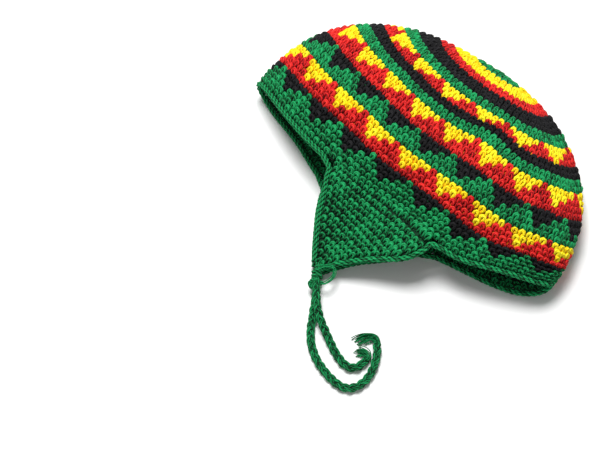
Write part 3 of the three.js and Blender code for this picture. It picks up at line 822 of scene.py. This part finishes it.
def colours_behind(number, angle):
    """Numbers of the yarns behind the stitches nearest to angles of a round, own or carried."""
    _, angles, _, columns = stitch_places(number)
    carried = carried_in(number)
    seen = [
        carried[colour] if random.random() < PEEPS_THROUGH[colour] else colour
        for colour in colours_of(number, columns)
    ]
    apart = np.abs((angle[:, None] - angles[None] + 180) % 360 - 180)
    return [ORDER.index(seen[nearest]) for nearest in apart.argmin(1)]


face_angles = ground_angles + 180 / GROUND_COLUMNS
ring_slots = [colours_behind(int(number), face_angles) for number in GROUND_ROUNDS[1:]]
skin_slots = np.array(ring_slots).ravel()
ground_slots = np.concatenate([skin_slots, skin_slots, ring_slots[-1], ring_slots[0]])

# %% The ground of the crown
rounds_grid, angles_grid = np.meshgrid(GROUND_ROUNDS, ground_angles, indexing="ij")
rounds_grid = waved(rounds_grid, angles_grid).ravel()
ground_middle = cloth_point(rounds_grid, angles_grid.ravel())
ground_out = cloth_frame(rounds_grid, angles_grid.ravel())[2]
grid = sheet_faces(len(GROUND_ROUNDS), GROUND_COLUMNS, True)
size = len(ground_middle)
hub = np.arange(GROUND_COLUMNS)
brim_faces = rim_faces(hub + size - GROUND_COLUMNS, size)[:, ::-1]
ground_faces = np.vstack([grid[:, ::-1], grid + size, brim_faces, rim_faces(hub, size)])
ground = yarn_piece(
    "ground_of_crown", sheet_parts(ground_middle, ground_out, ground_faces),
    [YARNS[colour] for colour in ORDER], ground_slots,
)
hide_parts("crown")

# %% [markdown]
# ## Ear flaps
# The flaps are crocheted downwards from the brim, and each row loses stitches until only the tip
# is left. The work was pulled a little askew: further down, the rows slant towards the tip on the
# flap's right side. The rows could be cut out of the crown's own pattern, but they end at the
# brim, so a flap has coordinates of its own: across it, and down from the brim to the tip.

# %% Form of the flaps
SEAM_GAP = 0.3
FLAP_COLUMNS = ("down", "left", "right", "y", "z")
FLAPS = {
    "upper": {
        "angles": (70, 105),
        "rows": [
            (0, -36.9, 47.5, -22.5, 34), (0.14, -33.5, 46.5, -31.5, 30.4),
            (0.36, -26.8, 39.5, -43.5, 25.2), (0.57, -20.8, 22.5, -55.5, 19.8),
            (0.8, -12.8, 8, -67.5, 14), (0.92, -7.8, 1.5, -74.5, 10.8), (1, -4.8, -1.8, -79, 9),
        ],
    },
    "lower": {
        "angles": (-80, -100),
        "rows": [
            (0, -39.2, 39.2, -28, WALL / 2), (0.14, -36, 35, -35, WALL / 2),
            (0.36, -29.5, 24, -46, WALL / 2), (0.57, -21.5, 12.5, -57, WALL / 2),
            (0.8, -12.5, 3.5, -69, WALL / 2), (0.92, -7, -0.5, -75.5, WALL / 2),
            (1, -4.4, -2.2, -79, WALL / 2),
        ],
    },
}


def flap_point(flap, across, down):
    """The middle of a flap's cloth: across 0 at its right side to 1 at its left, down 0 at the brim."""
    across, down = np.broadcast_arrays(np.asarray(across, float), np.asarray(down, float))
    at = {name: column_at(flap["rows"], FLAP_COLUMNS, "down", name, down) for name in FLAP_COLUMNS[1:]}
    first, last = flap["angles"]
    degrees = first + (last - first) * across
    brim_down = cloth_frame(np.full(degrees.shape, float(BRIM_ROUND)), degrees)[0]
    brim = cloth_point(BRIM_ROUND, degrees) + SEAM_GAP * brim_down
    middle = cloth_point(BRIM_ROUND, (first + last) / 2)
    follow = (1 - down) ** 2
    hang = np.stack([
        at["right"] + (at["left"] - at["right"]) * across,
        at["y"] + (brim[..., 1] - middle[1]) * follow,
        at["z"] + (brim[..., 2] - middle[2]) * follow,
    ], -1)
    loose = np.minimum(1, down / flap["rows"][1][0])[..., None]
    return brim + (hang - brim) * loose


def flap_frame(flap, across, down):
    """Directions of a flap's cloth: towards the tip, towards its left side, and out of the cloth."""
    step = 0.01
    down, across = np.asarray(down, float), np.asarray(across, float)
    tipward = unit(flap_point(flap, across, np.minimum(down + step, 1))
                   - flap_point(flap, across, np.maximum(down - step, 0)))
    leftward = unit(flap_point(flap, np.minimum(across + step, 1), down)
                    - flap_point(flap, np.maximum(across - step, 0), down))
    out = unit(np.cross(leftward, tipward))
    return tipward, leftward, out if flap["angles"][0] > 0 else -out


for which, flap in FLAPS.items():
    brim_ends = flap_point(flap, np.array([0.0, 1.0]), 0)
    print(f"flap {which}: {np.linalg.norm(brim_ends[0] - brim_ends[1]):.0f} mm wide at the brim")

# %% Rows of a flap
FLAP_ROWS = 14
ROW_SLANT = math.tan(math.radians(9))
SLANT_FROM = 0.4            # the slant is complete this far down the flap
ROW_STEP = 0.01
SHORTEST_ROW, TALLEST_ROW = 0.9, 1.6    # shares of a stitch's height


def flap_rows(flap):
    """Where a flap's rows begin and end on the way down it, and how long the flap is."""
    downs = np.linspace(0, 1, 201)
    passed = run(flap_point(flap, 0.5, downs))
    return np.interp(np.linspace(0, passed[-1], FLAP_ROWS + 1), passed, downs), passed[-1]


def row_point(flap, across, down, slant):
    """A point of a slanting row of a flap."""
    share = min(1.0, down / SLANT_FROM) * slant
    return flap_point(flap, across, np.clip(down + share * (0.5 - np.asarray(across)), 0, 1))


def row_frame(flap, across, above, below, slant):
    """Middles, right, up and out directions, and heights of a row's stitches."""
    down = (above + below) / 2
    right = unit(row_point(flap, across - ROW_STEP, down, slant)
                 - row_point(flap, across + ROW_STEP, down, slant))
    tipward, _, out = flap_frame(flap, across, np.full(len(across), down))
    right = right if flap["angles"][0] > 0 else -right
    up = -square_to(tipward, right)
    tall = row_point(flap, across, below, slant) - row_point(flap, across, above, slant)
    tall = np.clip(np.abs(np.sum(tall * up, axis=1)),
                   SHORTEST_ROW * STITCH_HEIGHT, TALLEST_ROW * STITCH_HEIGHT)
    return row_point(flap, across, down, slant), right, up, out, tall


for which, flap in FLAPS.items():
    flap_length = flap_rows(flap)[1]
    print(f"flap {which}: {flap_length:.1f} mm long, a row is {flap_length / FLAP_ROWS:.2f} mm high")

# %% Loops of a flap
FLAP_STITCH = 4.3
ALONG_ROW = 1.14            # the stitches of a row touch each other, and
ROW_HEIGHT_SHARE = 0.94     # a furrow stays between the rows
SLIMMER = 0.94              # the yarn is pulled tighter than in the crown
FLAP_DARK, FLAP_LIT = -0.3, 1.4     # and its furrows are deeper in the dark
FLAP_LOOP = template(*horseshoe(FRONT_STEP, SLIMMER), FLAP_DARK, FLAP_LIT)


def flap_stitches(flap):
    """Front and back loops of all rows of a flap."""
    ends, length = flap_rows(flap)
    parts = []
    for above, below in zip(ends, ends[1:]):
        side = flap_point(flap, np.array([0.0, 1.0]), (above + below) / 2)
        wide = np.linalg.norm(side[0] - side[1])
        count = max(2, round(wide / FLAP_STITCH))
        across = (np.arange(count) + 0.5) / count
        *frames, tall = row_frame(flap, across, above, below, ROW_SLANT * wide / length)
        frames += [np.full(count, ALONG_ROW * wide / count), ROW_HEIGHT_SHARE * tall]
        tints = random.random(count)
        parts += [at_places(loop, *frames, tints) for loop in (FLAP_LOOP, BACK_LOOP)]
    return joined(parts)


# %% The ground of a flap
FLAP_GROUND_ROWS, FLAP_GROUND_COLUMNS = 20, 16


def flap_ground(flap):
    """The thin sheet behind a flap's loops."""
    rows, columns = FLAP_GROUND_ROWS, FLAP_GROUND_COLUMNS
    down, across = np.meshgrid(np.linspace(0, 1, rows), np.linspace(0, 1, columns), indexing="ij")
    middle = flap_point(flap, across.ravel(), down.ravel())
    out = flap_frame(flap, across.ravel(), down.ravel())[2]
    grid = sheet_faces(rows, columns, False)
    rim = np.concatenate([
        np.arange(columns), np.arange(2, rows) * columns - 1,
        np.arange(rows * columns - 1, (rows - 1) * columns - 1, -1),
        np.arange(rows - 2, 0, -1) * columns,
    ])
    faces = np.vstack([grid[:, ::-1], grid + len(middle), rim_faces(rim, len(middle))])
    return sheet_parts(middle, out, faces if flap["angles"][0] > 0 else faces[:, ::-1])


# %% Both flaps
for which, flap in FLAPS.items():
    piece = yarn_piece(f"stitches_flap_{which}", flap_stitches(flap), [YARNS["G"]])
    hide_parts(f"ear_flap_{which}")
    sheet = yarn_piece(f"ground_of_flap_{which}", flap_ground(flap), [YARNS["G"]])
    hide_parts(f"ear_flap_{which}")

# %% [markdown]
# ## Border
# A last row of green stitches goes all round: up one side of a flap, along the brim to the other
# flap and down its side. From the outside only its top chain shows, a thick line of slanting
# yarns along the edge. The chain could be linked loops. Three yarns that turn round each other
# show the same slant from every side and follow the tight corners between flap and brim better.

# %% The line of the border
EDGING_HEIGHT = 3.9
EDGING_THICKNESS = 4.0
EDGING_GAP = 0.5
JOINS_BRIM = 0.1            # a flap's border ends this far down the flap, and the brim's goes on


def flap_border(flap, side, down):
    """A flap's edge, and the direction in which the border stands out from it."""
    across = np.full(len(down), 0.0 if side == "right" else 1.0)
    tipward, leftward, _ = flap_frame(flap, across, down)
    return flap_point(flap, across, down), square_to(-leftward if side == "right" else leftward, tipward)


def brim_border(degrees):
    """The brim's edge, and the direction in which the border stands out from it."""
    down, _, _ = cloth_frame(np.full(len(degrees), float(BRIM_ROUND)), degrees)
    return cloth_point(BRIM_ROUND, degrees), down


def border_line(side):
    """The middle of the border from one flap's tip to the other's, in the hat's own millimetres."""
    right = side == "right"
    start = FLAPS["upper"]["angles"][0 if right else 1]
    end = FLAPS["lower"]["angles"][0] if right else FLAPS["lower"]["angles"][1] + 360
    descent = np.linspace(0.99, JOINS_BRIM, 30)
    brim_angles = np.linspace(start, end, 61)[2:-2]
    parts = [
        flap_border(FLAPS["upper"], side, descent), brim_border(brim_angles),
        flap_border(FLAPS["lower"], side, descent[::-1]),
    ]
    edge, stand = (np.concatenate(values) for values in zip(*parts))
    middle = edge + stand * (EDGING_GAP + EDGING_HEIGHT / 2)
    middle[:, 2] = np.maximum(middle[:, 2], EDGING_THICKNESS / 2)
    return middle


for side in ("right", "left"):
    print(f"border {side}: {run(border_line(side))[-1]:.0f} mm long")

# %% The border's yarns
BORDER_YARNS = 3
BORDER_YARN = 0.98          # radius of a yarn in the border
BORDER_SPREAD = 1.1         # from the border's middle to its yarns' middles
BORDER_TURN = 11.0
BORDER_STEP = 1.2

for side in ("right", "left"):
    line = evenly(in_frame(border_line(side)), BORDER_STEP * MM)
    turns = np.arange(len(line)) * BORDER_STEP / BORDER_TURN
    yarns = twisted(line, turns, BORDER_SPREAD, BORDER_YARN, random.random(BORDER_YARNS))
    piece = yarn_piece(f"border_{side}", joined(yarns), [YARNS["G"]])
    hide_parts(f"edging_{side}")

# %% [markdown]
# ## Knots
# Where a tie starts, its yarns are pulled through the tip of the flap and wound round each other.
# The true path of such a knot can't be seen, and a knotted tube would look too neat. So yarn is
# wound round the start of the tie, over a core of three bundles that joins the tie to the flap.
# On the upper knot a small loop is left, and one yarn wasn't pulled tight: it stands off as a
# thin slack loop.

# %% Where the knots and their loops lie
KNOT_RADII = {"upper": (4.2, 3.3), "lower": (4.2, 2.9)}      # across the tie, and up from the table
FLAP_TIPS = {"upper": (-3.3, -78.2, 9.3), "lower": (-3.2, -78.2, 2.2)}
SMALL_LOOP = [
    (3.4, -90.6, 9.4), (1.6, -90.9, 9), (0.3, -91.5, 8), (0.2, -93, 7), (1.8, -94.4, 6.4),
    (4, -94.2, 7), (5.6, -93.2, 8.4),
]
SLACK_LOOP = [
    (-1.5, -80.8, 10), (1.2, -79.2, 11.2), (3.8, -76.8, 12), (7, -75.7, 12.5), (10, -77.6, 12),
    (11.2, -80.8, 11), (10.7, -84.4, 10), (9.2, -87.4, 9), (6.4, -88.3, 8.5), (3.4, -89.2, 9),
]
SLACK_YARNS = ((0, 0, 0), (-1.1, -0.5, -0.6), (-0.4, -1.2, 0.3), (-1.9, -0.2, 0.2))
SLACK_RADIUS = 0.36
SLACK_TINT = 0.95
SLACK_STEP = 0.8
for which, tip in FLAP_TIPS.items():
    print(f"flap tip to tie {which}: {math.dist(tip, TIE_ROUTES[which][0]):.1f} mm")

# %% The knots
KNOT_YARN = 0.8
KNOT_SPREAD = 0.8
KNOT_TWIST = 9.0            # length of one turn of a bundle on itself
KNOT_TURNS = 3.1            # turns of the bundle round the tie
WOUND_FROM, WOUND_OVER = 0.22, 1.05     # where the turns start, and their length: 1 is from tip to tie
WOUND_POINTS = 90
FIRST_ANGLE = 1.0           # where the turns start, round the tie
FULLNESS = 0.7              # the knot swells sooner than a half wave: 1 is the half wave
CORES = (-1.7, 0, 1.7)      # how far the bundles of the core lie to the side
KNOT_STEP = 0.6


def bundle(line):
    """Three yarns of one tint, twisted round each other along a line."""
    tint = random.random()
    return twisted(line, run(line) / MM / KNOT_TWIST, KNOT_SPREAD, KNOT_YARN, [tint] * 3)


def knot(which):
    """The wound yarn of a knot, and the core inside it."""
    tip, start = np.array(FLAP_TIPS[which]), np.array(TIE_ROUTES[which][0])
    ahead = unit(start - tip)
    side = unit(np.cross([0, 0, 1], ahead))
    up = np.cross(ahead, side)
    t = np.linspace(0, 1, WOUND_POINTS)[:, None]
    turn = 2 * np.pi * KNOT_TURNS * t + FIRST_ANGLE
    swell = np.sin(np.pi * t) ** FULLNESS
    wide, tall = ((radius - KNOT_SPREAD - KNOT_YARN) * swell for radius in KNOT_RADII[which])
    along = tip + (start - tip) * (WOUND_FROM + WOUND_OVER * t)
    parts = bundle(in_frame(along + np.cos(turn) * wide * side + np.sin(turn) * tall * up))
    for sideways in CORES:
        core = [tip + sideways * side, 0.5 * (tip + start), start + 2 * ahead]
        parts += bundle(smooth_route(in_frame(core), KNOT_STEP * MM))
    return parts


def loops_of_upper_knot():
    """The small loop, and the thin yarns of the slack loop."""
    parts = bundle(smooth_route(in_frame(SMALL_LOOP), KNOT_STEP * MM))
    for shift in SLACK_YARNS:
        slack = smooth_route(in_frame(np.array(SLACK_LOOP) + shift), SLACK_STEP * MM)
        parts.append((*strand(slack, SLACK_RADIUS * MM), SLACK_TINT))
    return parts


for which in FLAP_TIPS:
    parts = knot(which) + (loops_of_upper_knot() if which == "upper" else [])
    piece = yarn_piece(f"knot_{which}", joined(parts), [YARNS["G"]])
    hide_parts(f"tie_knot_{which}")

# %% [markdown]
# ## Floor and light
# The hat was photographed on white under soft light from above, with faint shadows. The table
# is a sheet of matt white paper, coated with chalk, that shows hardly any gloss. It runs well
# past the picture, so that no edge of it is seen. A picture of a studio could light the hat,
# but two soft lamps and an even white sky are enough, and they keep the gaps between the
# stitches readable.

# %% The floor
FLOOR_SIZE = 8.0
matt_paper = bpy.data.materials.new("matt_white_paper")
matt_paper.use_nodes = True
paper = matt_paper.node_tree.nodes["Principled BSDF"]
paper.inputs["Base Color"].default_value = linear("#f7f7f7")
paper.inputs["Roughness"].default_value = 0.9
paper.inputs["Specular IOR Level"].default_value = 0.2
bpy.ops.mesh.primitive_plane_add(size=FLOOR_SIZE)
floor = bpy.context.object
floor.name = "floor"
floor.data.materials.append(matt_paper)
print("floor:", FLOOR_SIZE, "m wide")


# %% Lamps and sky
def soft_lamp(name, place, size, power):
    """A square lamp that shines at the hat."""
    lamp = bpy.data.objects.new(name, bpy.data.lights.new(name, "AREA"))
    lamp.data.size = size
    lamp.data.energy = power
    lamp.location = place
    lamp.rotation_euler = Vector(place).to_track_quat("Z", "Y").to_euler()
    bpy.context.scene.collection.objects.link(lamp)
    print(f"{name}: {power} W, {size} m wide")


soft_lamp("lamp_above_left", (-0.55, 0.35, 1.6), size=0.8, power=37)
soft_lamp("lamp_in_front", (0.6, -1.4, 1.6), size=1.2, power=3)

SKY_STRENGTH = 0.26
sky = bpy.data.worlds.new("white_room")
sky.use_nodes = True
sky.node_tree.nodes["Background"].inputs["Color"].default_value = (1, 1, 1, 1)
sky.node_tree.nodes["Background"].inputs["Strength"].default_value = SKY_STRENGTH
bpy.context.scene.world = sky
bpy.context.scene.view_settings.view_transform = "Standard"
